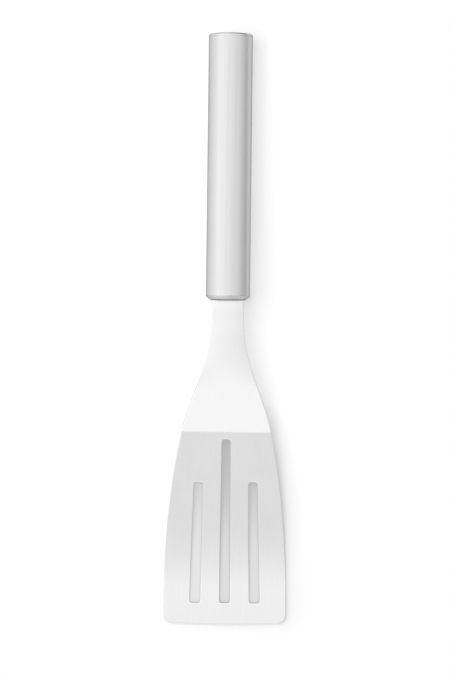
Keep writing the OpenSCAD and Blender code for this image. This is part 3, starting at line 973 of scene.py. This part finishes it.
cap_corners = [
    (0.0, 0.0, 0.0),
    (HANDLE_R, 0.0, CAP_EDGE_R),
    (HANDLE_R, CAP_LIP, JOINT_BREAK),
    (inner_r, CAP_LIP, 0.0),
    (inner_r, groove_mid - GROOVE_W / 2, INNER_BREAK),
    (inner_r - GROOVE_DEPTH, groove_mid - GROOVE_W / 2, INNER_BREAK),
    (inner_r - GROOVE_DEPTH, groove_mid + GROOVE_W / 2, INNER_BREAK),
    (inner_r, groove_mid + GROOVE_W / 2, INNER_BREAK),
    (inner_r, spigot_end, INNER_BREAK),
    (inner_r - CAP_SPIGOT_WALL, spigot_end, INNER_BREAK),
    (inner_r - CAP_SPIGOT_WALL, CAP_LIP, INNER_BREAK),
    (0.0, CAP_LIP, 0.0),
]
new_piece("butt_cap", turned_mesh("butt_cap", cap_corners, turned_finish), "turned_steel", "end_cap")

# %% [markdown]
# ## The sheet's outline
# Seen from above the shank spreads a little, then flares into the neck, and the blade's sides swell
# towards two small corners and a gently curved front edge. The three slots grow wider to the front,
# and the outer two fan out. The outline is drawn flat on the unrolled strip, as the steel blank was
# before it was bent.

# %% Outline and slots on the flat blank
SHANK_W = 17.2 * MM
SHANK_TAPER = math.radians(2.6)
FLARE_START = 17.5 * MM
CREASE_W = 51 * MM
BLADE_W = 70.2 * MM
SIDE_FULLNESS = 2.3
CORNER_R = 5 * MM
TIP_R = 560 * MM
TANG_W = 14 * MM
TANG_CORNER_R = 2 * MM
SMALL_ARC_STEPS = 6
CORNER_STEPS = 12
TIP_STEPS = 24
half_blade = BLADE_W / 2
tip_d = ferrule_y - tip_st[1]
crease_d = ferrule_y - (crease_st[1] + rear_st[1]) / 2
corner_turn = math.pi / 2 - math.asin((half_blade - CORNER_R) / (TIP_R - CORNER_R))
corner_d = tip_d - TIP_R + (TIP_R - CORNER_R) * math.sin(corner_turn)
side_gain = half_blade - CREASE_W / 2
flare_w = SHANK_W / 2 + FLARE_START * math.tan(SHANK_TAPER)
flare_len = crease_d - FLARE_START


def half_width(y):
    """Half the width of the sheet over y, from the shoulders to the blade's corners."""
    d = ferrule_y - y
    if d < FLARE_START:
        return SHANK_W / 2 + max(d, 0.0) * math.tan(SHANK_TAPER)
    if d < crease_d:
        q = (d - FLARE_START) / flare_len
        leave = math.tan(SHANK_TAPER) * q * (1 - q) ** 2
        arrive = SIDE_FULLNESS * side_gain / (corner_d - crease_d) * q * q * (1 - q)
        return flare_w + (CREASE_W / 2 - flare_w) * q * q * (3 - 2 * q) + flare_len * (leave - arrive)
    q = min((d - crease_d) / (corner_d - crease_d), 1.0)
    return half_blade - side_gain * (1 - q) ** SIDE_FULLNESS


def spaced(start, end, step):
    """Even distances from start up to, but not including, end."""
    count = max(1, round((end - start) / step))
    return [start + (end - start) * i / count for i in range(count)]


# Rows of points along the sheet lie closest where it bends most. Each stretch has its step in mm.
ROW_STEPS = [
    (-TANG_LEN, 0.0, 3.0),
    (0.0, bend_st[0], 1.5),
    (bend_st[0], neck_st[0], 0.8),
    (neck_st[0], crease_st[0], 1.6),
    (crease_st[0], rear_st[0], 0.19),
    (rear_st[0], sweep_st[0], 1.6),
    (sweep_st[0], land_st[0], 1.4),
    (land_st[0], tip_st[0], 1.5),
]
rows = [a for start, end, step in ROW_STEPS for a in spaced(start, end, step * MM)]
corner_along = along_at(ferrule_y - corner_d)


def arc(centre, radius, start, end, steps):
    """Points on a circle from one angle to another."""
    turns = [start + (end - start) * i / steps for i in range(steps + 1)]
    return [(centre[0] + radius * math.cos(a), centre[1] + radius * math.sin(a)) for a in turns]


def outline_loop():
    """Outline of the blank, anticlockwise from the middle of the tang's end, as (x, along)."""
    tang = TANG_W / 2
    right = arc((tang - TANG_CORNER_R, TANG_CORNER_R - TANG_LEN), TANG_CORNER_R, -math.pi / 2, 0,
                SMALL_ARC_STEPS)
    right += [(tang, a) for a in rows if TANG_CORNER_R - TANG_LEN < a < -EDGE_FADE]
    right += [(tang, 0.0), (SHANK_W / 2, 0.0)]
    right += [(half_width(station_at(a)[1]), a) for a in rows if 0 < a < corner_along]
    right += arc((half_blade - CORNER_R, corner_along), CORNER_R, 0, corner_turn, CORNER_STEPS)
    tip_centre = tip_st[0] - TIP_R
    right += arc((0.0, tip_centre), TIP_R, corner_turn, math.pi / 2, TIP_STEPS)[1:]
    left = [(-x, a) for x, a in reversed(right[:-1])]
    return right + left


outline = outline_loop()
print("outline has", len(outline), "points, widest", round(2 * max(x for x, a in outline) / MM, 2), "mm")

# %% Slots and rivet holes
SLOT_REAR_W = 4.8 * MM
SLOT_FRONT_W = 6 * MM
SLOT_CORNER_R = 1.4 * MM
MIDDLE_SLOT_GAP = 4.6 * MM
SIDE_SLOT_GAP = 29.1 * MM
SLOT_TIP_GAP = 12.7 * MM
SIDE_SLOT_X = 17.05 * MM
SLOT_FAN = math.radians(1.2)
SLOT_STEP = 2 * MM
RIVET_D = 4 * MM
SHEET_FIT = 0.1 * MM
RIVET_INSET = 12 * MM
RIVET_PITCH = 28 * MM
HOLE_STEPS = 32
blade_len = tip_d - crease_d
middle_len = blade_len - MIDDLE_SLOT_GAP - SLOT_TIP_GAP
side_len = blade_len - SIDE_SLOT_GAP - SLOT_TIP_GAP
side_rear_w = SLOT_FRONT_W - (SLOT_FRONT_W - SLOT_REAR_W) * side_len / middle_len
front_y = tip_st[1] + SLOT_TIP_GAP


def slot_loop(x, fan, length, rear_w):
    """One slot as a clockwise loop on the blank, its front end at x and its rear turned by fan."""
    r = SLOT_CORNER_R
    front_x, rear_x = SLOT_FRONT_W / 2 - r, rear_w / 2 - r
    right = arc((front_x, r), r, -math.pi / 2, 0, SMALL_ARC_STEPS)
    steps = round(length / SLOT_STEP)
    right += [(front_x + r + (rear_x - front_x) * i / steps, r + (length - 2 * r) * i / steps)
              for i in range(1, steps)]
    right += arc((rear_x, length - r), r, 0, math.pi / 2, SMALL_ARC_STEPS)
    shape = right + [(-px, py) for px, py in reversed(right)]
    turned = [(x + px * math.cos(fan) - py * math.sin(fan), front_y + px * math.sin(fan) + py * math.cos(fan))
              for px, py in shape]
    return [(px, along_at(py)) for px, py in turned]


slots = [
    slot_loop(0.0, 0.0, middle_len, SLOT_REAR_W),
    slot_loop(SIDE_SLOT_X, SLOT_FAN, side_len, side_rear_w),
    slot_loop(-SIDE_SLOT_X, -SLOT_FAN, side_len, side_rear_w),
]
rivet_alongs = [-RIVET_INSET, -RIVET_INSET - RIVET_PITCH]
hole_r = RIVET_D / 2 + SHEET_FIT
holes = [arc((0.0, a), hole_r, math.pi / 2, -1.5 * math.pi, HOLE_STEPS)[:-1] for a in rivet_alongs]
print("slots:", [round((max(a for x, a in s) - min(a for x, a in s)) / MM, 1) for s in slots], "mm long")

# %% [markdown]
# ## The flat blank
# The blank is a thin closed plate: two faces, and round every cut edge a small rounding, as tumbling
# leaves it on stamped cutlery. The faces are filled with rows of points, so that each row can be
# bent as one. A constrained Delaunay fill joins rows, outline and slots without any stray edges.

# %% Plate with rounded edges
EDGE_R = 0.34 * MM
EDGE_STEPS = 4
COLUMN_STEP = 1.5 * MM
CLEAR = 0.55 * MM
KEEP_INSIDE = 2
MITRE_LEAST = 0.5
FILL_TOLERANCE = 1e-9


def signed_area(loop):
    """Area of a loop, positive when it runs anticlockwise."""
    return sum(a[0] * b[1] - b[0] * a[1] for a, b in zip(loop, loop[1:] + loop[:1])) / 2


def inset(loop, distance):
    """Loop moved into the metal, to the left of its own direction."""
    points = [Vector(p) for p in loop]
    moved = []
    for i, here in enumerate(points):
        before = (here - points[i - 1]).normalized()
        after = (points[(i + 1) % len(points)] - here).normalized()
        normal = Vector((-before.y - after.y, before.x + after.x)).normalized()
        reach = distance / max(normal.dot(Vector((-after.y, after.x))), MITRE_LEAST)
        moved.append(tuple(here + normal * reach))
    return moved


def inside_points(loops):
    """Grid points in the metal that keep clear of every loop."""
    last_column = round(half_blade / COLUMN_STEP)
    columns = [k * COLUMN_STEP for k in range(-last_column, last_column + 1)]
    points = np.array([(x, a) for a in rows[1:] for x in columns])
    inside = np.zeros(len(points), bool)
    clear = np.ones(len(points), bool)
    for loop in loops:
        start = np.array(loop)
        for p, q in zip(start, np.roll(start, -1, axis=0)):
            edge = q - p
            if edge[1] != 0:
                crosses = (p[1] > points[:, 1]) != (q[1] > points[:, 1])
                inside ^= crosses & (points[:, 0] < p[0] + (points[:, 1] - p[1]) * edge[0] / edge[1])
            t = np.clip(((points - p) @ edge) / (edge @ edge), 0, 1)
            clear &= np.linalg.norm(points - p - t[:, None] * edge, axis=1) > CLEAR
    return [tuple(p) for p in points[inside & clear]]


loops = [outline] + slots + holes
loops = [loop if (signed_area(loop) > 0) == (loop is outline) else loop[::-1] for loop in loops]
inner_loops = [inset(loop, EDGE_R + EDGE_FADE) for loop in loops]
fill_points = inside_points(inner_loops)
print("blank:", len(loops), "loops and", len(fill_points), "points inside")

# %% Face fill and edges
half_t = SHEET_T / 2


def plate_mesh():
    """Closed flat plate: x across, y along the strip and z off its middle."""
    flat = [p for loop in inner_loops for p in loop]
    borders = []
    loop_ends = []
    first = 0
    for loop in inner_loops:
        count = len(loop)
        borders += [(first + i, first + (i + 1) % count) for i in range(count)]
        first += count
        loop_ends.append(first)
    filled = delaunay_2d_cdt([Vector(p) for p in flat + fill_points], borders, [], KEEP_INSIDE,
                             FILL_TOLERANCE)
    face_points, origins = filled[0], filled[3]
    place_of = {}
    loop_of = {}
    for index, sources in enumerate(origins):
        for source in sources:
            place_of[source] = index
            loop_of[index] = next((n for n, end in enumerate(loop_ends) if source < end), None)
    face_tris = [t for t in filled[2] if not (loop_of.get(t[0]) and len({loop_of.get(v) for v in t}) == 1)]
    points, edge_mask, faces = [], [], []
    for side in (1, -1):
        base = len(points)
        points += [(p.x, p.y, side * half_t) for p in face_points]
        edge_mask += [0.0] * len(face_points)
        faces += [[base + v for v in tri[::side]] for tri in face_tris]
    skins = (0, len(face_points))
    first = 0
    for loop in loops:
        count = len(loop)
        top = [skins[0] + place_of[first + i] for i in range(count)]
        low = [skins[1] + place_of[first + i] for i in range(count)]
        rings = [top]
        for side in (1, -1):
            steps = range(EDGE_STEPS + 1)
            for k in (steps if side == 1 else reversed(steps)):
                turn = math.pi / 2 * k / EDGE_STEPS
                moved = inset(loop, EDGE_R * (1 - math.sin(turn)))
                height = side * (half_t - EDGE_R * (1 - math.cos(turn)))
                rings.append(list(range(len(points), len(points) + count)))
                points += [(x, a, height) for x, a in moved]
                edge_mask += [1.0] * count
        rings.append(low)
        for upper, lower in zip(rings, rings[1:]):
            for i in range(count):
                j = (i + 1) % count
                faces.append([upper[i], lower[i], lower[j], upper[j]])
        first += count
    thin = TANG_T / SHEET_T
    points = [(x, a, z * (thin if a < -EDGE_FADE else 1.0)) for x, a, z in points]
    mesh = mesh_of("flat_blank", points, faces)
    keep_values(mesh, "edge", edge_mask)
    keep_values(mesh, "along", [a for x, a, z in points])
    outward(mesh)
    return mesh


blank = plate_mesh()
print("flat blank:", len(blank.vertices), "points and", len(blank.polygons), "faces")

# %% [markdown]
# ## Bending the blank
# A press bends the blank in one stroke. A Geometry Nodes tree does the same by rule: it looks up
# the point of the line at the same distance along, and stands the sheet's thickness on it. The shank
# is crowned too: across its width it drops like a circle, which stiffens it. The crown grows just
# behind the ferrule and fades out over the bend.

# %% The bending tree
CROWN_R = 42 * MM
GASKET_T = 2 * MM
LINE_STEP = 0.1 * MM


def build_bender():
    """Tree that lays a flat blank along a line and crowns part of it."""
    lengths = ("Line Start", "Crown Radius", "Crown From", "Crown Full", "Bend From", "Bend To")
    inputs = [("Line", "NodeSocketObject", None)] + [(name, VALUE, 0.0) for name in lengths]
    tree, given, result = shape_tree("Bend Along Line", "Blank", inputs, "Bent")
    place = parts_of(tree, read(tree, "GeometryNodeInputPosition", "Position"))
    line_points = node(tree, "GeometryNodeObjectInfo", Object=given["Line"]).outputs["Geometry"]
    distance = math_node(tree, "SUBTRACT", place["Y"], given["Line Start"])
    on_line = node(tree, "GeometryNodeSampleCurve", {"mode": "LENGTH", "use_all_curves": True},
                   Curves=line_points, Length=distance).outputs
    up = vector_math(tree, "CROSS_PRODUCT", on_line["Tangent"], vector_of(tree, 1.0))
    grown = ranged(tree, place["Y"], given["Crown From"], given["Crown Full"], 0.0, 1.0)
    faded = ranged(tree, place["Y"], given["Bend From"], given["Bend To"], 0.0, 1.0)
    share = math_node(tree, "MULTIPLY", grown, math_node(tree, "SUBTRACT", 1.0, faded))
    square = math_node(tree, "MULTIPLY", place["X"], place["X"])
    full_drop = math_node(tree, "DIVIDE", square, math_node(tree, "MULTIPLY", given["Crown Radius"], 2.0))
    height = math_node(tree, "SUBTRACT", place["Z"], math_node(tree, "MULTIPLY", share, full_drop))
    lifted = node(tree, "ShaderNodeVectorMath", {"operation": "SCALE"}, _0=up, Scale=height).outputs[0]
    middle = vector_math(tree, "ADD", on_line["Position"], lifted)
    spot = vector_math(tree, "ADD", middle, vector_of(tree, place["X"]))
    bent_sheet = node(tree, "GeometryNodeSetPosition", Geometry=given["Blank"], Position=spot)
    finish_tree(tree, bent_sheet.outputs[0], given, result)
    return tree


def line_object():
    """Curve with one point every tenth of a millimetre along the sheet's line."""
    alongs = spaced(-TANG_LEN, tip_st[0], LINE_STEP) + [tip_st[0]]
    curve = bpy.data.curves.new("sheet_line", "CURVE")
    curve.dimensions = "3D"
    spline = curve.splines.new("POLY")
    spline.points.add(len(alongs) - 1)
    for point, a in zip(spline.points, alongs):
        y, z = station_at(a)[1:3]
        point.co = (0.0, y, z, 1.0)
    return add_object("sheet_line", curve)


def off_solid(mesh, solid):
    """How far a mesh's box lies off a solid part's box, in mm, at the low and the high end."""
    spots = np.array([v.co for v in mesh.vertices])
    low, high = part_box(solid)
    return np.round((spots.min(axis=0) - low) / MM, 3), np.round((spots.max(axis=0) - high) / MM, 3)


guide = line_object()
sheet_mesh = run_tree(
    "bent_sheet", blank, build_bender(), line=guide, line_start=-TANG_LEN, crown_radius=CROWN_R,
    crown_from=0.0, crown_full=SKIRT_LEN - GASKET_T, bend_from=bend_st[0], bend_to=neck_st[0],
    material=sheet_finish)
bpy.data.objects.remove(guide)
outward(sheet_mesh)
new_piece("slotted_sheet", sheet_mesh, "satin_sheet", "blade")
print("sheet box off the solid's by", *off_solid(sheet_mesh, "blade"))

# %% [markdown]
# ## Ferrule
# A cup closes the front of the tube. Outside it shows as a narrow band and a chamfer that ends in a
# thin lip. It is turned like the other parts, with a round hole in its front for the soft plug that
# seals the shank.

# %% Ferrule
SKIRT_WALL = 1.2 * MM
NOSE_BREAK = 0.2 * MM
BAND_BREAK = 0.12 * MM
NOSE_LIP = 0.6 * MM
shoulder_at = TUBE_END - SKIRT_LEN
skirt_r = inner_r - SKIRT_WALL
nose_r = HANDLE_R - CHAMFER_DEPTH - NOSE_LIP

ferrule_corners = [
    (HANDLE_R, TUBE_END, JOINT_BREAK),
    (HANDLE_R, TUBE_END + FERRULE_BAND, BAND_BREAK),
    (HANDLE_R - CHAMFER_DEPTH, HANDLE_LEN, NOSE_BREAK),
    (nose_r, HANDLE_LEN, INNER_BREAK),
    (nose_r, TUBE_END, INNER_BREAK),
    (skirt_r, TUBE_END, INNER_BREAK),
    (skirt_r, shoulder_at, INNER_BREAK),
    (inner_r, shoulder_at, INNER_BREAK),
    (inner_r, TUBE_END, 0.0),
    (HANDLE_R, TUBE_END, JOINT_BREAK),
]
new_piece("front_ferrule", turned_mesh("front_ferrule", ferrule_corners, turned_finish), "turned_steel",
          "ferrule")

# %% [markdown]
# ## Rubber and moulded plastic
# What seals and fills the handle is dark and matt: silicone rubber for the plug and the ring, and a
# filled plastic for the two halves of the core. Both come out of moulds, so both have the fine,
# even grain of an etched mould with slow changes of gloss over it. One function makes the two. Ring
# and core are plain and hidden, so their solid parts keep their own shape and only get the finish.

# %% Moulded finishes
RUBBER = 0.045
CORE_PLASTIC = 0.12
MOULD_MOTTLE_SCALE = 90.0
MOULD_TONE = 0.3
MOULD_GLOSS = 0.2


def moulded(name, colour, roughness, grain, relief):
    """Matt moulded finish with an etched grain and a slow change of tone and gloss."""
    material, tree, output = new_material(name)
    place = read(tree, "ShaderNodeTexCoord", "Object")
    patches = effect(tree, mottle_group, Vector=place, Scale=MOULD_MOTTLE_SCALE)["Patches"]
    etched = effect(tree, grain_group, Vector=place, Lines=grain, Stretch=1.0)
    uneven = swung(tree, patches, MOULD_TONE, 1.0)
    shade = math_node(tree, "MULTIPLY", uneven, colour)
    gloss = math_node(tree, "MULTIPLY_ADD", etched["Broad"], MOULD_GLOSS, roughness)
    bumps = node(tree, "ShaderNodeBump", Height=etched["Fine"], Distance=relief, Strength=1.0)
    shader = node(tree, "ShaderNodeBsdfPrincipled", Base_Color=tone(tree, shade), Roughness=gloss,
                  Normal=bumps.outputs[0])
    tree.links.new(shader.outputs[0], output.inputs["Surface"])
    return material


rubber_finish = moulded("seal_rubber", RUBBER, roughness=0.5, grain=3500.0, relief=0.02 * MM)
core_finish = moulded("core_plastic", CORE_PLASTIC, roughness=0.42, grain=2500.0, relief=0.03 * MM)
for name, finish in (("cap_ring", rubber_finish), ("core_upper", core_finish), ("core_lower", core_finish)):
    frame["nodes"][name].material_slots[0].material = finish
print("moulded finishes:", rubber_finish.name, core_finish.name)

# %% [markdown]
# ## Plug round the shank
# The plug has a wide flange inside the ferrule and a nose that fills the ferrule's round hole. From
# outside only its end shows, as a thin dark line where steel meets steel. It is turned first. Then a
# Boolean modifier cuts the opening for the shank, with a cutter that has the shank's cross section.

# %% Plug
NOSE_RECESS = 0.3 * MM
NOSE_ROUND = 0.15 * MM
SEAL_FIT = 0.03 * MM
SECTION_STEPS = 24
CUT_REACH = 2 * MM

plug_corners = [
    (0.0, TUBE_END - GASKET_T, 0.0),
    (skirt_r - SEAL_FIT, TUBE_END - GASKET_T, INNER_BREAK),
    (skirt_r - SEAL_FIT, TUBE_END, INNER_BREAK),
    (nose_r - SEAL_FIT, TUBE_END, 0.0),
    (nose_r - SEAL_FIT, HANDLE_LEN - NOSE_RECESS, NOSE_ROUND),
    (0.0, HANDLE_LEN - NOSE_RECESS, 0.0),
]


def section_cutter(name, start, end, slack):
    """Closed solid with the shank's crowned cross section, wider by slack all round."""
    half = SHANK_W / 2 + slack
    lift = SHEET_T / 2 + slack
    xs = [half * (2 * i / SECTION_STEPS - 1) for i in range(SECTION_STEPS + 1)]
    ring = [(x, lift - x * x / (2 * CROWN_R)) for x in xs]
    ring += [(x, -lift - x * x / (2 * CROWN_R)) for x in reversed(xs)]
    count = len(ring)
    points = [(x, y, z) for z in (start, end) for x, y in ring]
    faces = [list(range(count)), list(range(count, 2 * count))]
    faces += [[i, (i + 1) % count, count + (i + 1) % count, count + i] for i in range(count)]
    mesh = mesh_of(name, points, faces)
    outward(mesh)
    mesh.transform(handle_frame)
    return mesh


def cut_mesh(name, mesh, cutter):
    """Mesh less a cutter, by a Boolean modifier that is applied at once."""
    body = add_object(name + "_body", mesh)
    knife = add_object(name + "_knife", cutter)
    boolean = body.modifiers.new("cut", "BOOLEAN")
    boolean.operation = "DIFFERENCE"
    boolean.solver = "EXACT"
    boolean.object = knife
    result = plain_mesh(name, body)
    for made in (body, knife):
        bpy.data.objects.remove(made)
    outward(result)
    return result


whole_plug = turned_mesh("whole_plug", plug_corners, rubber_finish)
shank_knife = section_cutter("shank_knife", TUBE_END - GASKET_T - CUT_REACH, HANDLE_LEN + CUT_REACH, SEAL_FIT)
new_piece("shank_plug", cut_mesh("shank_plug", whole_plug, shank_knife), "seal_rubber", "shank_gasket")

# %% [markdown]
# ## Rivets
# Two rivets hold the tang between the halves of the core. A rivet is turned once and placed twice, by
# a tree that puts a copy on each point of a short line. With more rivets only a number would change.

# %% Rivets on the tang
RIVET_STEEL = 0.70
RIVET_HEAD_D = 7 * MM
RIVET_HEAD_T = 1.2 * MM
RIVET_GRIP = 14 * MM
HEAD_ROUND = 0.9 * MM
SEAT_BREAK = 0.05 * MM
RIVET_SEGMENTS = 64
rivet_end = RIVET_GRIP / 2 + RIVET_HEAD_T


def build_rivet_row():
    """Tree that sets copies of a rivet, square to the handle's axis, on an even line along it."""
    places = [("Count", COUNT, 2), ("First", VALUE, 0.0), ("Pitch", VALUE, 0.0)]
    tree, given, result = shape_tree("Rivet Row", "Rivet", places, "Row")
    seats = node(tree, "GeometryNodeMeshLine", {"mode": "OFFSET"}, Count=given["Count"],
                 Start_Location=vector_of(tree, z=given["First"]), Offset=vector_of(tree, z=given["Pitch"]))
    row = node(tree, "GeometryNodeInstanceOnPoints", Points=seats.outputs[0], Instance=given["Rivet"],
               Rotation=(-math.pi / 2, 0.0, 0.0))
    finish_tree(tree, row.outputs[0], given, result)
    return tree


rivet_finish = steel("rivet_steel", RIVET_STEEL, roughness=0.40, depth=0.004 * MM, lines=3000.0,
                     stretch=0.3)
rivet_corners = [
    (0.0, -rivet_end, 0.0),
    (RIVET_HEAD_D / 2, -rivet_end, HEAD_ROUND),
    (RIVET_HEAD_D / 2, -RIVET_GRIP / 2, SEAT_BREAK),
    (RIVET_D / 2, -RIVET_GRIP / 2, 0.0),
    (RIVET_D / 2, RIVET_GRIP / 2, 0.0),
    (RIVET_HEAD_D / 2, RIVET_GRIP / 2, SEAT_BREAK),
    (RIVET_HEAD_D / 2, rivet_end, HEAD_ROUND),
    (0.0, rivet_end, 0.0),
]
one_rivet = turned_mesh("one_rivet", rivet_corners, rivet_finish, Matrix.Identity(4), RIVET_SEGMENTS)
rivet_mesh = run_tree("rivet_pair", one_rivet, build_rivet_row(), count=len(rivet_alongs),
                      first=shoulder_at + rivet_alongs[0], pitch=-RIVET_PITCH, material=rivet_finish)
rivet_mesh.transform(handle_frame)
new_piece("rivet_pair", rivet_mesh, "rivet_steel", "tang_rivets")
print("rivets off the solid ones by", *off_solid(rivet_mesh, "tang_rivets"))
